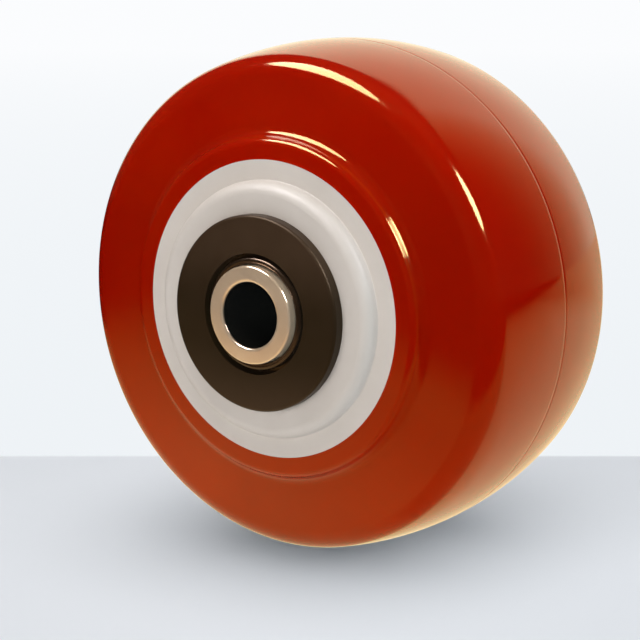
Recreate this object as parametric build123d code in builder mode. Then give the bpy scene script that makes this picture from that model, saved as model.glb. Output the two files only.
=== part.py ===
from build123d import *
import os
from math import asin, cos, degrees, floor, pi, radians, sin, tan

# A castor wheel: a polyurethane tyre moulded on a plastic core, turning on a caged roller bearing
# round a steel spanner sleeve. Sizes are in millimetres and angles in degrees.
# The origin is the wheel's centre, the axle lies along Y, the front face looks along -Y and +Z is up.
# Every turned section is drawn with X as the radius and Y along the axle.

# Tyre
tread_diameter = 101.6
crown_radius = 88.0
shoulder_radius = 4.5
side_face_drop = 0.75
collar_width = 3.95
collar_height = 2.45
collar_draft = 12.0
collar_edge_radius = 1.4
collar_foot_radius = 1.5
mould_line_width = 0.5
mould_line_depth = 0.15

# Core
rim_diameter = 58.2
core_width = 50.8
rim_land_width = 3.9
boss_height = 2.6
boss_draft = 14.0
boss_edge_radius = 2.2
boss_foot_radius = 0.2
bore_chamfer = 0.4

# Grooves and keyways round the core that lock the tyre to it
lock_groove_count = 3
lock_groove_pitch = 13.0
lock_groove_depth = 2.2
lock_groove_mouth = 5.0
lock_groove_undercut = 0.7
keyway_count = 10
keyway_width = 5.0
keyway_depth = 1.2
keyway_end_wall = 5.5

# Axle sleeve
sleeve_diameter = 19.05
sleeve_bore_diameter = 12.7
sleeve_projection = 1.3
sleeve_edge_radius = 0.4
sleeve_bore_edge_radius = 0.6

# Bearing
roller_diameter = 4.65
roller_chamfer = 0.35
roller_clearance = 0.05
race_wall = 0.8
race_chamfer = 0.25
cage_radial_clearance = 0.35
cage_end_clearance = 0.25
cage_end_ring = 2.2
cage_bar = 1.25
cage_chamfer = 0.3
pocket_clearance = 0.12
pocket_end_clearance = 0.15

# Retaining washers
washer_diameter = 38.1
washer_thickness = 2.45
washer_hole_diameter = 23.5
washer_edge_radius = 0.6
washer_hole_edge_radius = 0.25
spigot_wall = 2.0
spigot_length = 3.3
spigot_race_clearance = 0.1
spigot_chamfer = 0.4

# Lip seals
seal_lip_clearance = 0.08
seal_neck_gap = 0.75
seal_nose_setback = 0.1
seal_flange_thickness = 1.0
seal_flange_clearance = 0.3
seal_flange_chamfer = 0.25

# Radii and places that follow from the sizes above
tread_radius = tread_diameter / 2
rim_radius = rim_diameter / 2
core_half_width = core_width / 2
boss_face = core_half_width + boss_height
washer_front = boss_face + washer_thickness
spigot_end = boss_face - spigot_length
sleeve_radius = sleeve_diameter / 2
sleeve_end = washer_front + sleeve_projection
roller_radius = roller_diameter / 2
pitch_radius = sleeve_radius + roller_clearance + roller_radius
race_inner_radius = pitch_radius + roller_radius + roller_clearance
core_bore_radius = race_inner_radius + race_wall
race_end = spigot_end - spigot_race_clearance
cage_end = race_end - cage_end_clearance
pocket_end = cage_end - cage_end_ring
pocket_radius = roller_radius + pocket_clearance
roller_count = floor(2 * pi * pitch_radius / (2 * pocket_radius + cage_bar))

# The outline of a side piece is drawn once: its Y runs along +Y at the rear and along -Y at the front
sides = {"front": -Plane.XY, "rear": Plane.XY}

os.makedirs("parts", exist_ok=True)

# The core is one moulding: a rim that ends flush with the tyre's collars, and a round boss on each side
boss_foot = rim_radius - rim_land_width
boss_top = boss_foot - boss_height * tan(radians(boss_draft))
groove_floor = rim_radius - lock_groove_depth
with BuildPart() as core:
    with BuildSketch(Plane.XY) as core_section:
        with BuildLine():
            Polyline(
                (core_bore_radius, 0),
                (rim_radius, 0),
                (rim_radius, core_half_width),
                (boss_foot, core_half_width),
                (boss_top, boss_face),
                (core_bore_radius, boss_face),
                close=True,
            )
        make_face()
        fillet(core_section.vertices().sort_by_distance((boss_top, boss_face))[0], boss_edge_radius)
        fillet(core_section.vertices().sort_by_distance((boss_foot, core_half_width))[0], boss_foot_radius)
        chamfer(core_section.vertices().sort_by_distance((core_bore_radius, boss_face))[0], bore_chamfer)
        mirror(about=Plane.XZ)
    revolve(axis=Axis.Y)

    # Dovetail grooves, wider at the floor than at the mouth, so that the tyre can't lift off
    with BuildSketch(Plane.XY):
        with GridLocations(0, lock_groove_pitch, 1, lock_groove_count):
            Polygon(
                (rim_radius, -lock_groove_mouth / 2),
                (rim_radius, lock_groove_mouth / 2),
                (groove_floor, lock_groove_mouth / 2 + lock_groove_undercut),
                (groove_floor, -lock_groove_mouth / 2 - lock_groove_undercut),
                align=None,
            )
    revolve(axis=Axis.Y, mode=Mode.SUBTRACT)

    # Keyways across the lands between the grooves, so that the tyre can't creep round
    with BuildSketch(Plane.XZ):
        with PolarLocations(rim_radius, keyway_count):
            Rectangle(2 * keyway_depth, keyway_width)
    extrude(amount=core_half_width - keyway_end_wall, both=True, mode=Mode.SUBTRACT)
core.part.label = "core"
export_step(core.part, "parts/core.step")

# The tyre is cast round the core, so its inside is whatever the core leaves free
collar_radius = rim_radius + collar_width
collar_foot = (collar_radius + collar_height * tan(radians(collar_draft)), core_half_width - collar_height)
shoulder_offset = collar_foot[1] - side_face_drop
crown_start = degrees(asin(mould_line_width / 2 / crown_radius))
crown_end = degrees(asin(shoulder_offset / crown_radius))
with BuildPart() as tyre:
    with BuildSketch(Plane.XY) as tyre_section:
        with BuildLine():
            crown = CenterArc((tread_radius - crown_radius, 0), crown_radius, crown_start, crown_end - crown_start)
            Polyline(
                crown @ 1,
                collar_foot,
                (collar_radius, core_half_width),
                (groove_floor, core_half_width),
                (groove_floor, 0),
                (tread_radius - mould_line_depth, 0),
                crown @ 0,
            )
        make_face()
        fillet(tyre_section.vertices().sort_by_distance(crown @ 1)[0], shoulder_radius)
        fillet(tyre_section.vertices().sort_by_distance(collar_foot)[0], collar_foot_radius)
        fillet(tyre_section.vertices().sort_by_distance((collar_radius, core_half_width))[0], collar_edge_radius)
        mirror(about=Plane.XZ)
    revolve(axis=Axis.Y)
    add(core.part, mode=Mode.SUBTRACT)
tyre.part.label = "tyre"
export_step(tyre.part, "parts/tyre.step")

# The spanner sleeve carries the rollers and is clamped between the fork's legs by the axle bolt
with BuildPart() as axle_sleeve:
    with BuildSketch(Plane.XZ):
        Circle(sleeve_radius)
        Circle(sleeve_bore_diameter / 2, mode=Mode.SUBTRACT)
    extrude(amount=sleeve_end, both=True)
    sleeve_rims = axle_sleeve.edges().filter_by(GeomType.CIRCLE).group_by(SortBy.RADIUS)
    fillet(sleeve_rims[-1], sleeve_edge_radius)
    fillet(sleeve_rims[0], sleeve_bore_edge_radius)
axle_sleeve.part.label = "axle_sleeve"
export_step(axle_sleeve.part, "parts/axle_sleeve.step")

# The race is a hardened tube pressed in the core's bore
with BuildPart() as bearing_race:
    with BuildSketch(Plane.XZ):
        Circle(core_bore_radius)
        Circle(race_inner_radius, mode=Mode.SUBTRACT)
    extrude(amount=race_end, both=True)
    chamfer(bearing_race.edges().filter_by(GeomType.CIRCLE), race_chamfer)
bearing_race.part.label = "bearing_race"
export_step(bearing_race.part, "parts/bearing_race.step")

# The cage is a moulded tube with a round-backed pocket for each roller between its two end rings
with BuildPart() as roller_cage:
    with BuildSketch(Plane.XZ):
        Circle(race_inner_radius - cage_radial_clearance)
        Circle(sleeve_radius + cage_radial_clearance, mode=Mode.SUBTRACT)
    extrude(amount=cage_end, both=True)
    chamfer(roller_cage.edges().filter_by(GeomType.CIRCLE), cage_chamfer)
    with BuildSketch(Plane.XZ):
        with PolarLocations(pitch_radius, roller_count):
            Circle(pocket_radius)
    extrude(amount=pocket_end, both=True, mode=Mode.SUBTRACT)
roller_cage.part.label = "roller_cage"
export_step(roller_cage.part, "parts/roller_cage.step")

# One roller lies in each pocket, parallel to the axle
for number in range(roller_count):
    place = 2 * pi * number / roller_count
    roller_plane = Plane((pitch_radius * cos(place), 0, pitch_radius * sin(place)), z_dir=Plane.XZ.z_dir)
    with BuildPart() as roller:
        with BuildSketch(roller_plane):
            Circle(roller_radius)
        extrude(amount=pocket_end - pocket_end_clearance, both=True)
        chamfer(roller.edges().filter_by(GeomType.CIRCLE), roller_chamfer)
    roller.part.label = f"roller_{number + 1:02d}"
    export_step(roller.part, f"parts/{roller.part.label}.step")

# Each washer covers the bearing's end, and its spigot is pressed in the core's bore in front of the race
washer_hole_radius = washer_hole_diameter / 2
spigot_inner_radius = core_bore_radius - spigot_wall
for side, section_plane in sides.items():
    with BuildPart() as washer:
        with BuildSketch(section_plane) as washer_section:
            with BuildLine():
                Polyline(
                    (washer_hole_radius, boss_face),
                    (washer_hole_radius, washer_front),
                    (washer_diameter / 2, washer_front),
                    (washer_diameter / 2, boss_face),
                    (core_bore_radius, boss_face),
                    (core_bore_radius, spigot_end),
                    (spigot_inner_radius, spigot_end),
                    (spigot_inner_radius, boss_face),
                    close=True,
                )
            make_face()
            corners = washer_section.vertices()
            fillet(corners.sort_by_distance((washer_diameter / 2, washer_front))[0], washer_edge_radius)
            fillet(corners.sort_by_distance((washer_hole_radius, washer_front))[0], washer_hole_edge_radius)
            chamfer(corners.sort_by_distance((core_bore_radius, spigot_end))[0], spigot_chamfer)
        revolve(axis=Axis.Y)
    washer.part.label = f"{side}_retaining_washer"
    export_step(washer.part, f"parts/{washer.part.label}.step")

# Each seal is a flange held behind its washer, and a neck with a round nose that stands in the washer's hole.
# Its bore is the lip, which just clears the sleeve.
seal_lip_radius = sleeve_radius + seal_lip_clearance
seal_neck_radius = washer_hole_radius - seal_neck_gap
seal_flange_radius = spigot_inner_radius - seal_flange_clearance
seal_back = boss_face - seal_flange_thickness
seal_nose_radius = (seal_neck_radius - seal_lip_radius) / 2
seal_nose_base = washer_front - seal_nose_setback - seal_nose_radius
for side, section_plane in sides.items():
    with BuildPart() as seal:
        with BuildSketch(section_plane) as seal_section:
            with BuildLine():
                nose = CenterArc((seal_lip_radius + seal_nose_radius, seal_nose_base), seal_nose_radius, 0, 180)
                Polyline(
                    nose @ 1,
                    (seal_lip_radius, seal_back),
                    (seal_flange_radius, seal_back),
                    (seal_flange_radius, boss_face),
                    (seal_neck_radius, boss_face),
                    nose @ 0,
                )
            make_face()
            flange_corner = seal_section.vertices().sort_by_distance((seal_flange_radius, seal_back))[0]
            chamfer(flange_corner, seal_flange_chamfer)
        revolve(axis=Axis.Y)
    seal.part.label = f"{side}_lip_seal"
    export_step(seal.part, f"parts/{seal.part.label}.step")
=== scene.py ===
from math import asin, atan2, cos, pi, radians, sin, sqrt, tan

import bpy
from mathutils import Matrix, Vector, noise


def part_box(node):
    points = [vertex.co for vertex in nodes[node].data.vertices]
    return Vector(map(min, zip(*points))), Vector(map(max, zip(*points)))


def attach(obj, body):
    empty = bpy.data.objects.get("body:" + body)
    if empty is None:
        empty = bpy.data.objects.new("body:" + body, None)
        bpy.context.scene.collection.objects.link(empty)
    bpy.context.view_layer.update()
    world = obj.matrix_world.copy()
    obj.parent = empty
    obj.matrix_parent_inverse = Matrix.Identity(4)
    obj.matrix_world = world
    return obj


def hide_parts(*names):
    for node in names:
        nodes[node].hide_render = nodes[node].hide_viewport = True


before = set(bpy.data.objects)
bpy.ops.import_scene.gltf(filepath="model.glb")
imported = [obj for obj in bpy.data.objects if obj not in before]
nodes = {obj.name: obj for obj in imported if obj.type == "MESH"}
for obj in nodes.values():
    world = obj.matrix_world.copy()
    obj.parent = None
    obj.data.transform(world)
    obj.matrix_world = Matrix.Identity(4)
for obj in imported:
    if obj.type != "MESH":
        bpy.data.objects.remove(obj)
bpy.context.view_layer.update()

# The castor wheel stands upright on its tread. The axle lies along Y, the front face looks along -Y
# and every turned section is drawn as (radius, place along the axle). Lengths are in metres.
mm = 0.001


# Sizes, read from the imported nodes

def reach(node, axis):
    """How far a node reaches from the wheel's centre along an axis: 0 and 2 are radii, 1 is the axle."""
    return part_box(node)[1][axis]


tread_radius = reach("tyre", 0)
face_place = reach("tyre", 1)
rim_radius = reach("core", 0)


# Turned meshes

sharp_edge_angle = radians(35)


def arc(centre, radius, start, end, steps):
    """Points of an arc in the section, from one angle to another."""
    angles = [start + (end - start) * i / steps for i in range(steps + 1)]
    return [(centre[0] + radius * cos(a), centre[1] + radius * sin(a)) for a in angles]


def straight(start, end, steps):
    """Points along a straight stretch, without its two ends."""
    return [
        (start[0] + (end[0] - start[0]) * i / steps, start[1] + (end[1] - start[1]) * i / steps)
        for i in range(1, steps)
    ]


def rounded(before, corner, after, radius, steps):
    """The points that round a corner of the section with an arc of the given radius."""
    corner, before, after = Vector(corner), Vector(before), Vector(after)
    to_before = (before - corner).normalized()
    to_after = (after - corner).normalized()
    half = to_before.angle(to_after) / 2
    centre = corner + (to_before + to_after).normalized() * radius / sin(half)
    first = corner + to_before * radius / tan(half) - centre
    last = corner + to_after * radius / tan(half) - centre
    start = atan2(first.y, first.x)
    sweep = atan2(first.x * last.y - first.y * last.x, first.dot(last))
    return arc(centre, radius, start, start + sweep, steps)


def turned(name, outline, segments, offset=None):
    """A closed section turned round the axle. The offset moves each point along its section's normal."""
    count = len(outline)
    vertices = []
    for i, (radius, place) in enumerate(outline):
        before, after = Vector(outline[i - 1]), Vector(outline[(i + 1) % count])
        along = (after - before).normalized()
        out = Vector((along.y, -along.x))
        for s in range(segments):
            angle = 2 * pi * s / segments
            push = offset(radius, place, angle) if offset else 0.0
            r, y = radius + out.x * push, place + out.y * push
            vertices.append((r * cos(angle), y, r * sin(angle)))
    faces = []
    for i in range(count):
        row, next_row = i * segments, (i + 1) % count * segments
        for s in range(segments):
            t = (s + 1) % segments
            faces.append((row + s, row + t, next_row + t, next_row + s))
    mesh = bpy.data.meshes.new(name)
    mesh.from_pydata(vertices, [], faces)
    mesh.validate()
    mesh.shade_smooth()
    mesh.set_sharp_from_angle(angle=sharp_edge_angle)
    piece = bpy.data.objects.new(name, mesh)
    bpy.context.collection.objects.link(piece)
    return piece


# Material helpers

class Nodes:
    """A node tree with short ways to add nodes. Place is the point or the direction that feeds them."""

    def __init__(self, owner, place):
        owner.use_nodes = True
        self.tree = owner.node_tree
        self.tree.nodes.clear()
        self.place = self.add("ShaderNodeTexCoord").outputs[place]

    def add(self, kind, **settings):
        node = self.tree.nodes.new(kind)
        for key, value in settings.items():
            setattr(node, key, value)
        return node

    def link(self, source, target):
        self.tree.links.new(source, target)

    def math(self, operation, a, b=0.0):
        node = self.add("ShaderNodeMath", operation=operation)
        for socket, value in zip(node.inputs, (a, b)):
            if isinstance(value, (int, float)):
                socket.default_value = value
            else:
                self.link(value, socket)
        return node.outputs[0]

    def fold(self, operation, *values):
        """Several values joined into one by the same operation."""
        result = values[0]
        for value in values[1:]:
            result = self.math(operation, result, value)
        return result

    def noise(self, scale, detail=3.0, roughness=0.5):
        """Cloudy noise. The scale counts its patches in a metre."""
        node = self.add("ShaderNodeTexNoise")
        node.inputs["Scale"].default_value = scale
        node.inputs["Detail"].default_value = detail
        node.inputs["Roughness"].default_value = roughness
        self.link(self.place, node.inputs["Vector"])
        return node.outputs["Fac"]

    def spread(self, value, low, high, to_low=0.0, to_high=1.0, smooth=False):
        """Maps one range of a value to another, and holds it at the ends."""
        node = self.add("ShaderNodeMapRange")
        if smooth:
            node.interpolation_type = "SMOOTHSTEP"
        self.link(value, node.inputs["Value"])
        for socket, number in zip(node.inputs[1:5], (low, high, to_low, to_high)):
            socket.default_value = number
        return node.outputs[0]

    def mix(self, share, a, b):
        """Two colours mixed by a share. Each is three numbers or comes from another node."""
        node = self.add("ShaderNodeMix", data_type="RGBA")
        self.link(share, node.inputs["Factor"])
        for socket, value in zip((node.inputs[6], node.inputs[7]), (a, b)):
            if isinstance(value, tuple):
                socket.default_value = (*value, 1.0)
            else:
                self.link(value, socket)
        return node.outputs[2]

    def ramp(self, value, *stops):
        """A colour that follows a value through (value, colour) stops."""
        node = self.add("ShaderNodeValToRGB")
        elements = node.color_ramp.elements
        while len(elements) < len(stops):
            elements.new(1.0)
        for element, (position, colour) in zip(elements, stops):
            element.position = position
            element.color = (*colour, 1.0)
        self.link(value, node.inputs[0])
        return node.outputs[0]

    def glow(self, value):
        """The warm colour that gloss sees: dark brown where the set is dim, cream where it's bright."""
        return self.ramp(
            value,
            (0.0, (0.0, 0.0, 0.0)),
            (0.23, (0.5, 0.3, 0.09)),
            (0.4, (0.8, 0.52, 0.2)),
            (0.62, (1.1, 0.8, 0.38)),
            (0.8, (1.25, 1.04, 0.6)),
            (1.0, (1.38, 1.3, 0.93)),
        )

    def parts(self):
        """The place's X, Y and Z."""
        node = self.add("ShaderNodeSeparateXYZ")
        self.link(self.place, node.inputs[0])
        return node.outputs

    def length(self, a, b):
        """The length of a step from its two parts at right angles."""
        squares = self.math("ADD", self.math("MULTIPLY", a, a), self.math("MULTIPLY", b, b))
        return self.math("SQRT", squares)

    def radius(self):
        """How far a point is from the axle."""
        x, _, z = self.parts()
        return self.length(x, z)

    def toward(self, azimuth):
        """How far a point lies from the wheel in a level direction, an angle from +Y towards +X."""
        x, y, _ = self.parts()
        x_part = self.math("MULTIPLY", x, sin(azimuth))
        y_part = self.math("MULTIPLY", y, cos(azimuth))
        return self.math("ADD", x_part, y_part)


class Surface(Nodes):
    """A Principled material and the nodes that feed it."""

    def __init__(self, name, **constants):
        self.material = bpy.data.materials.new(name)
        super().__init__(self.material, "Object")
        self.output = self.add("ShaderNodeOutputMaterial")
        self.shader = self.add("ShaderNodeBsdfPrincipled")
        self.link(self.shader.outputs[0], self.output.inputs["Surface"])
        for socket, value in constants.items():
            self.shader.inputs[socket.replace("_", " ")].default_value = value

    def set(self, socket, source):
        self.link(source, self.shader.inputs[socket])

    def bump(self, *layers):
        """Stacks layers of relief on the shader's normal, each a height from 0 to 1 and its depth."""
        normal = None
        for height, depth in layers:
            node = self.add("ShaderNodeBump")
            node.inputs["Strength"].default_value = 1.0
            node.inputs["Distance"].default_value = depth
            self.link(height, node.inputs["Height"])
            if normal:
                self.link(normal, node.inputs["Normal"])
            normal = node.outputs[0]
        self.set("Normal", normal)


def finish(node, surface):
    """Gives a carried-over node its procedural material."""
    for material_slot in nodes[node].material_slots:
        material_slot.material = surface.material


# Materials

def polyurethane():
    """Glossy cast red polyurethane, a little cloudy, with a soft orange peel."""
    s = Surface(
        "red_polyurethane",
        IOR=1.5,
        Specular_Tint=(1.0, 0.82, 0.28, 1.0),
        Subsurface_Weight=0.35,
        Subsurface_Scale=0.008,
        Subsurface_Radius=(1.0, 0.1, 0.02),
    )
    across, along, height = s.parts()

    # The sides carry painted light and shade: brightest far above and below the axle, and their real
    # cloudiness is strongest, and so lighter, on the left. The tread is even
    cloudiness_and_painted_left_light = s.spread(s.noise(28.0, 3.0, 0.55), 0.3, 0.7)
    # Painted light: the cloudiness is weighted to the left, so the left of each side is coloured lighter
    cloudiness_and_painted_left_light = s.math("MULTIPLY", cloudiness_and_painted_left_light, s.spread(across, -10 * mm, 42 * mm, 1.0, 0.1))
    # Painted light and shade: coloured brighter far above and below the axle and darker near its height
    level = s.spread(s.math("ABSOLUTE", height), 12 * mm, 40 * mm, smooth=True)
    tread = s.spread(s.math("ABSOLUTE", along), 17 * mm, 23 * mm, 1.0, 0.0, smooth=True)
    cloudy = s.mix(level, (0.345, 0.0094, 0.0001), (0.42, 0.0108, 0.0002))
    clear = s.mix(level, (0.285, 0.0042, 0.0001), (0.35, 0.0052, 0.0002))
    side = s.mix(cloudiness_and_painted_left_light, clear, cloudy)
    s.set("Base Color", s.mix(tread, side, (0.365, 0.0048, 0.0001)))
    s.set("Roughness", s.spread(s.noise(190.0, 5.0, 0.6), 0.3, 0.75, 0.06, 0.11))
    s.bump((s.noise(420.0, 2.0), 0.006 * mm), (s.noise(60.0, 2.0), 0.06 * mm))
    return s


def grey_plastic():
    """Satin moulded light grey plastic."""
    s = Surface("grey_plastic", IOR=1.47, Specular_IOR_Level=0.35, Specular_Tint=(1.0, 0.97, 0.92, 1.0))
    mottle = s.spread(s.noise(55.0, 4.0, 0.6), 0.3, 0.7)
    s.set("Base Color", s.mix(mottle, (0.60, 0.54, 0.485), (0.65, 0.59, 0.535)))
    s.set("Roughness", s.spread(s.noise(300.0, 4.0), 0.3, 0.7, 0.50, 0.60))
    s.bump((s.noise(2200.0, 2.0), 0.012 * mm), (s.noise(120.0, 2.0), 0.04 * mm))
    return s


def dark_plastic():
    """Satin near-black brown plastic, with faint turned rings, and a painted reflection that lightens it
    towards the top and bottom.
    """
    s = Surface("dark_plastic", IOR=1.45, Specular_IOR_Level=0.17, Specular_Tint=(1.0, 0.78, 0.5, 1.0))
    ring_pitch = 0.4 * mm
    least_reflection_height = -3 * mm
    _, _, height = s.parts()
    mottle = s.spread(s.noise(70.0, 3.0, 0.6), 0.3, 0.7)
    # Painted reflection: the colour lightens with distance above and below the least reflecting height
    from_least_reflection = s.math("ABSOLUTE", s.math("SUBTRACT", height, least_reflection_height))
    painted_reflection = s.spread(from_least_reflection, 3 * mm, 18 * mm, smooth=True)
    dark = s.mix(mottle, (0.017, 0.0098, 0.0043), (0.022, 0.0126, 0.0057))
    pale = s.mix(mottle, (0.040, 0.0226, 0.0120), (0.050, 0.0284, 0.0158))
    s.set("Base Color", s.mix(painted_reflection, dark, pale))
    s.set("Roughness", s.spread(s.noise(260.0, 4.0), 0.3, 0.7, 0.30, 0.42))
    rings = s.math("SINE", s.math("MULTIPLY", s.radius(), 2 * pi / ring_pitch))
    s.bump((s.noise(1800.0, 2.0), 0.008 * mm), (rings, 0.002 * mm))
    return s


def black_rubber():
    """Smooth, wet-looking black rubber of the lip seals."""
    s = Surface("black_rubber", IOR=1.52, Specular_Tint=(1.0, 0.66, 0.42, 1.0))
    mottle = s.spread(s.noise(120.0, 3.0), 0.3, 0.7)
    s.set("Base Color", s.mix(mottle, (0.016, 0.009, 0.005), (0.024, 0.014, 0.008)))
    s.set("Roughness", s.spread(s.noise(500.0, 3.0), 0.3, 0.7, 0.16, 0.26))
    s.bump((s.noise(900.0, 2.0), 0.006 * mm))
    return s


def metal(name, light, dark, smoothest, roughest, line_pitch, bore=None, metallic=1.0):
    """Turned steel: fine rings round the axle and a colour between two tones. A bore's wall gets painted
    shade: it is coloured near black.
    """
    s = Surface(name, Metallic=metallic, Anisotropic=0.3)
    radius = s.radius()
    stain = s.spread(s.noise(90.0, 4.0, 0.6), 0.3, 0.7)
    colour = s.mix(stain, dark, light)
    # Painted shade: the bore's wall is coloured near black, as if no light reached into it
    if bore:
        painted_bore_shade = s.spread(radius, bore, bore + 0.2 * mm, 1.0, 0.0)
        colour = s.mix(painted_bore_shade, colour, (0.02, 0.018, 0.015))
    s.set("Base Color", colour)
    s.set("Roughness", s.spread(s.noise(350.0, 4.0), 0.3, 0.7, smoothest, roughest))

    # The lines follow the radius on an end face, and the place along the axle on a round one
    _, along, _ = s.parts()
    lines = s.math("SINE", s.math("MULTIPLY", s.math("ADD", radius, along), 2 * pi / line_pitch))
    s.bump((lines, 0.0008 * mm), (s.noise(700.0, 3.0), 0.004 * mm))
    return s


def nylon():
    """Moulded natural nylon of the roller cage."""
    s = Surface("nylon", IOR=1.53, Subsurface_Weight=0.2, Subsurface_Scale=0.002)
    mottle = s.spread(s.noise(140.0, 3.0), 0.3, 0.7)
    s.set("Base Color", s.mix(mottle, (0.56, 0.50, 0.38), (0.64, 0.59, 0.47)))
    s.set("Roughness", s.spread(s.noise(400.0, 3.0), 0.3, 0.7, 0.38, 0.5))
    s.bump((s.noise(1500.0, 2.0), 0.01 * mm))
    return s


# Tyre

crown_radius = 88 * mm
shoulder_radius = 4.5 * mm
side_face_drop = 0.75 * mm
collar_width = 3.95 * mm
collar_height = 2.45 * mm
collar_draft = radians(12)
collar_edge_radius = 1.4 * mm
collar_foot_radius = 2.2 * mm
mould_line_width = 0.5 * mm
mould_line_depth = 0.05 * mm
tyre_segments = 400

# A casting is never quite even: it swells a little from place to place, with a finer ripple
swell_size = 24 * mm
swell_depth = 0.03 * mm
ripple_size = 7 * mm
ripple_depth = 0.006 * mm
cast_shrinkage = 0.004 * mm
seat_margin = 0.2 * mm


def tyre_outline():
    """The front half of the tyre's section from the mould line to the core, then mirrored."""
    collar = rim_radius + collar_width
    foot = (collar + collar_height * tan(collar_draft), collar_height - face_place)
    side = foot[1] + side_face_drop
    crown_centre = (tread_radius - crown_radius, 0.0)

    # The side face runs straight from the collar's foot to where the crown would meet it
    meeting = (crown_centre[0] + sqrt(crown_radius**2 - side**2), side)
    along = (Vector(meeting) - Vector(foot)).normalized()
    inward = Vector((-along.y, along.x))
    inner = crown_radius - shoulder_radius
    start = Vector(foot) + inward * shoulder_radius - Vector(crown_centre)
    travel = -start.dot(along) + sqrt(start.dot(along) ** 2 - start.dot(start) + inner**2)
    hub = Vector(foot) + inward * shoulder_radius + along * travel
    crown_end = atan2(hub.y - crown_centre[1], hub.x - crown_centre[0])
    side_turn = atan2(-inward.y, -inward.x)

    half_line = asin(mould_line_width / 2 / crown_radius)
    bottom = tread_radius - mould_line_depth
    groove = [(bottom, 0.0), (bottom + 0.3 * mould_line_depth, -mould_line_width / 4)]
    crown = arc(crown_centre, crown_radius, -half_line, crown_end, steps=40)
    shoulder = arc(hub, shoulder_radius, crown_end, side_turn, steps=16)
    collar_edge = (collar, -face_place)
    rim_edge = (rim_radius, -face_place)
    foot_round = rounded(shoulder[-1], foot, collar_edge, collar_foot_radius, steps=12)
    edge_round = rounded(foot, collar_edge, rim_edge, collar_edge_radius, steps=12)
    front = groove + crown + shoulder[1:]
    front += straight(front[-1], foot_round[0], steps=14) + foot_round
    front += edge_round + straight(edge_round[-1], rim_edge, steps=5)
    front += [rim_edge] + straight(rim_edge, (rim_radius, 0.0), steps=12)
    rear = [(radius, -place) for radius, place in reversed(front[1:])]
    return front + [(rim_radius, 0.0)] + rear


def cast_surface(radius, place, angle):
    """The unevenness of the casting, always inward, and none of it where the tyre lies on the core."""
    if radius < rim_radius + seat_margin:
        return 0.0
    point = Vector((radius * cos(angle), place, radius * sin(angle)))
    swell = noise.noise(point / swell_size) * swell_depth
    elsewhere = Vector((5.0, 2.0, 9.0))
    ripple = noise.noise(point / ripple_size + elsewhere) * ripple_depth
    return min(swell + ripple, 0.0) - cast_shrinkage


def make_tyre():
    """The cast tyre takes the place of the plain one and turns with the wheel."""
    tyre = turned("tyre_casting", tyre_outline(), tyre_segments, cast_surface)
    tyre.data.materials.append(polyurethane().material)
    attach(tyre, "wheel")
    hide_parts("tyre")

    # The plastics beside the tyre stay neutral: its red isn't thrown on them
    tyre.visible_diffuse = False


make_tyre()


# Materials of the carried-over nodes

sleeve_bore_radius = 6.35 * mm

finish("core", grey_plastic())
washer_surface = dark_plastic()
seal_surface = black_rubber()
for side in ("front", "rear"):
    finish(f"{side}_retaining_washer", washer_surface)
    finish(f"{side}_lip_seal", seal_surface)
finish("roller_cage", nylon())
plated_steel = metal(
    "plated_steel",
    light=(0.79, 0.59, 0.405),
    dark=(0.69, 0.50, 0.335),
    smoothest=0.14,
    roughest=0.22,
    line_pitch=0.25 * mm,
    bore=sleeve_bore_radius,
    metallic=0.5,
)
ground_steel = metal(
    "ground_steel",
    light=(0.56, 0.57, 0.58),
    dark=(0.46, 0.47, 0.48),
    smoothest=0.25,
    roughest=0.35,
    line_pitch=0.2 * mm,
)
bearing_steel = metal(
    "bearing_steel",
    light=(0.66, 0.66, 0.67),
    dark=(0.6, 0.6, 0.61),
    smoothest=0.08,
    roughest=0.14,
    line_pitch=0.3 * mm,
)
finish("axle_sleeve", plated_steel)
finish("bearing_race", ground_steel)
for name in nodes:
    if name.startswith("roller_") and name != "roller_cage":
        finish(name, bearing_steel)


# Camera

view_azimuth = radians(35.25)
view_elevation = radians(11.69)
view_distance = 383.1 * mm
wheel_right_of_axis = 4.81 * mm
wheel_above_axis = 6.09 * mm

level = cos(view_elevation)
back = Vector((sin(view_azimuth) * level, -cos(view_azimuth) * level, sin(view_elevation)))
right = Vector((cos(view_azimuth), sin(view_azimuth), 0.0))
up = back.cross(right)
camera_data = bpy.data.cameras.new("camera")
camera_data.lens = 105.93
camera_data.sensor_width = 36.0
camera_data.clip_start = 10 * mm
camera = bpy.data.objects.new("camera", camera_data)
camera.matrix_world = Matrix.Translation(
    back * view_distance - right * wheel_right_of_axis - up * wheel_above_axis
) @ Matrix((right, up, back)).transposed().to_4x4()
bpy.context.collection.objects.link(camera)
bpy.context.scene.camera = camera


# Floor

floor_height = -tread_radius
floor_reach = 6.0
floor_edge_behind = 54.7 * mm
floor_edge_blur = 1.5 * mm
floor_tone = (0.73, 0.755, 0.805)
background_tone = (0.86, 0.895, 0.925)
distant_tone = (0.965, 0.975, 0.99)
floor_gloss = 0.78


def plane(name, corners):
    """A flat sheet that belongs to the set and not to the wheel."""
    mesh = bpy.data.meshes.new(name)
    mesh.from_pydata(corners, [], [(0, 1, 2, 3)])
    piece = bpy.data.objects.new(name, mesh)
    bpy.context.collection.objects.link(piece)
    return piece


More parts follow.
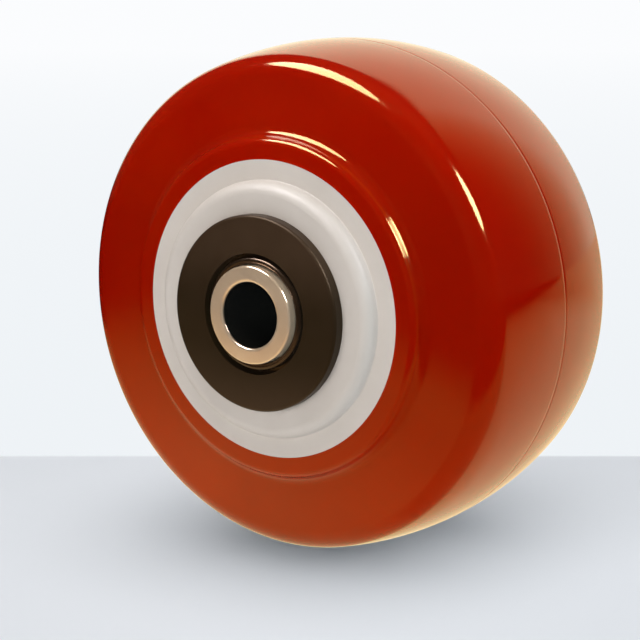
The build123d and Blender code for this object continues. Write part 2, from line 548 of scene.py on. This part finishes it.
def floor_glow(s, x, y, distance):
    """What gloss sees of the floor: warm and bright round the wheel, dark in front and on the right."""
    ahead = s.spread(y, -230 * mm, -94 * mm)
    left = s.spread(x, -215 * mm, -55 * mm)
    leftward = s.toward(radians(-41.1))
    front_left = s.spread(leftward, -122.3 * mm, -22.3 * mm)
    front_left = s.math("MAXIMUM", front_left, s.spread(leftward, -121.3 * mm, -93.3 * mm, 0.0, 0.5))
    right = s.spread(s.toward(radians(-62.5)), -301.3 * mm, -51.3 * mm)
    beside = s.spread(s.toward(radians(-27.1)), -26.8 * mm, -10.8 * mm, 0.38, 1.0)
    beside = s.math("MAXIMUM", beside, s.spread(x, 10 * mm, 45 * mm, 1.0, 0.0))
    near = s.spread(distance, 250 * mm, 900 * mm, 1.0, 0.0)
    behind = s.spread(s.math("ARCTAN2", x, y), radians(12), radians(54), 1.0, 0.0)
    bright = s.fold("MINIMUM", ahead, left, front_left, right, beside, s.math("MAXIMUM", near, behind))
    return s.glow(s.math("MULTIPLY", bright, floor_gloss))


def floor_surface():
    """A pale floor in two tones: light grey round the wheel and near white in the background."""
    s = Surface("floor", Roughness=0.9, Specular_IOR_Level=0.0)
    x, y, _ = s.parts()
    distance = s.length(x, y)
    away = s.toward(-view_azimuth)
    background = s.spread(away, floor_edge_behind, floor_edge_behind + floor_edge_blur)
    distant = s.spread(away, 0.1, 1.6)
    tone = s.mix(background, floor_tone, s.mix(distant, background_tone, distant_tone))
    s.set("Base Color", tone)

    # Seen directly or through clear parts, the floor's background and its far parts glow by themselves
    # and take no shade. Gloss sees all of the floor like that, in its own warm colour
    rays = s.add("ShaderNodeLightPath").outputs
    outside = s.math("MAXIMUM", background, s.spread(distance, 0.3, 1.2))
    glowing = s.math("MAXIMUM", outside, rays["Is Glossy Ray"])
    seen = s.fold("MAXIMUM", rays["Is Camera Ray"], rays["Is Glossy Ray"], rays["Is Transmission Ray"])
    glow = s.add("ShaderNodeEmission")
    warm = floor_glow(s, x, y, distance)
    s.link(s.mix(rays["Is Glossy Ray"], tone, warm), glow.inputs["Color"])
    blend = s.add("ShaderNodeMixShader")
    s.link(s.math("MULTIPLY", seen, glowing), blend.inputs["Fac"])
    s.link(s.shader.outputs[0], blend.inputs[1])
    s.link(glow.outputs[0], blend.inputs[2])
    s.link(blend.outputs[0], s.output.inputs["Surface"])
    return s


floor = plane(
    "floor",
    [(x * floor_reach, y * floor_reach, floor_height) for x, y in ((-1, -1), (1, -1), (1, 1), (-1, 1))],
)
floor.data.materials.append(floor_surface().material)


# Light

room_tone = (0.05, 0.045, 0.03)


def area_light(
    name, toward, distance, width, height, level, colour, gloss=True, diffuse=True, shadow=True
):
    """A soft lamp. Toward is its direction from the wheel, and level how brightly it lights white."""
    data = bpy.data.lights.new(name, "AREA")
    data.shape = "ELLIPSE"
    data.size = width
    data.size_y = height
    data.energy = level * pi * pi * distance**2
    data.color = colour
    data.use_shadow = shadow
    lamp = bpy.data.objects.new(name, data)
    aim = Vector(toward).normalized()
    lamp.location = aim * distance
    lamp.rotation_euler = aim.to_track_quat("Z", "Y").to_euler()
    lamp.visible_glossy = gloss
    lamp.visible_diffuse = diffuse
    bpy.context.collection.objects.link(lamp)


# Two lamps are only seen in gloss, as the highlights, and four only light the dull surfaces
area_light("key_gloss", (-0.34, -0.47, 0.81), 0.9, 0.62, 0.44, 2.4, (0.9, 0.9, 1.0), diffuse=False)
area_light("side_gloss", (0.78, -0.08, 0.6), 0.9, 0.3, 0.36, 1.6, (0.9, 0.9, 1.0), diffuse=False)
area_light("top_fill", (0.037, -0.057, 1.0), 0.9, 1.0, 1.0, 1.2, (1.0, 0.99, 0.97), gloss=False)
area_light("key_fill", (-0.05, -0.98, 0.12), 0.9, 0.7, 0.7, 0.45, (1.0, 0.98, 0.96), gloss=False)
area_light(
    "side_fill", (0.9, 0.15, 0.02), 1.0, 1.0, 1.0, 0.52, (0.62, 0.86, 1.0), gloss=False, shadow=False
)
area_light("front_fill", (0.35, -0.92, 0.1), 1.2, 1.4, 1.0, 0.23, (1.0, 0.97, 0.94), gloss=False)


def studio_world():
    """A bright warm backdrop behind the wheel that fades out to the right, and a dim room elsewhere."""
    world = bpy.data.worlds.new("studio")
    bpy.context.scene.world = world
    n = Nodes(world, "Generated")
    x, y, z = n.parts()

    # The backdrop's ends are turns from +Y, and its top is a slope upward, nearly straight ahead
    turn = n.math("ARCTAN2", x, y)
    right_end = n.spread(turn, radians(8), radians(50.5), 1.0, 0.0)
    left_end = n.spread(turn, radians(-72), radians(-58), 0.0, 1.0, smooth=True)
    ahead = n.math("MAXIMUM", n.toward(radians(10)), 0.001)
    slope = n.math("DIVIDE", z, ahead)
    top_end = n.spread(slope, tan(radians(50.5)), tan(radians(52.5)), 1.0, 0.0, smooth=True)
    backdrop = n.fold("MULTIPLY", right_end, left_end, top_end)
    shade = n.add("ShaderNodeBackground")
    n.link(n.mix(backdrop, room_tone, n.glow(backdrop)), shade.inputs["Color"])
    n.link(shade.outputs[0], n.add("ShaderNodeOutputWorld").inputs["Surface"])

    # Dull surfaces are lit by the lamps alone
    world.cycles_visibility.diffuse = False


studio_world()
bpy.context.scene.view_settings.view_transform = "Standard"
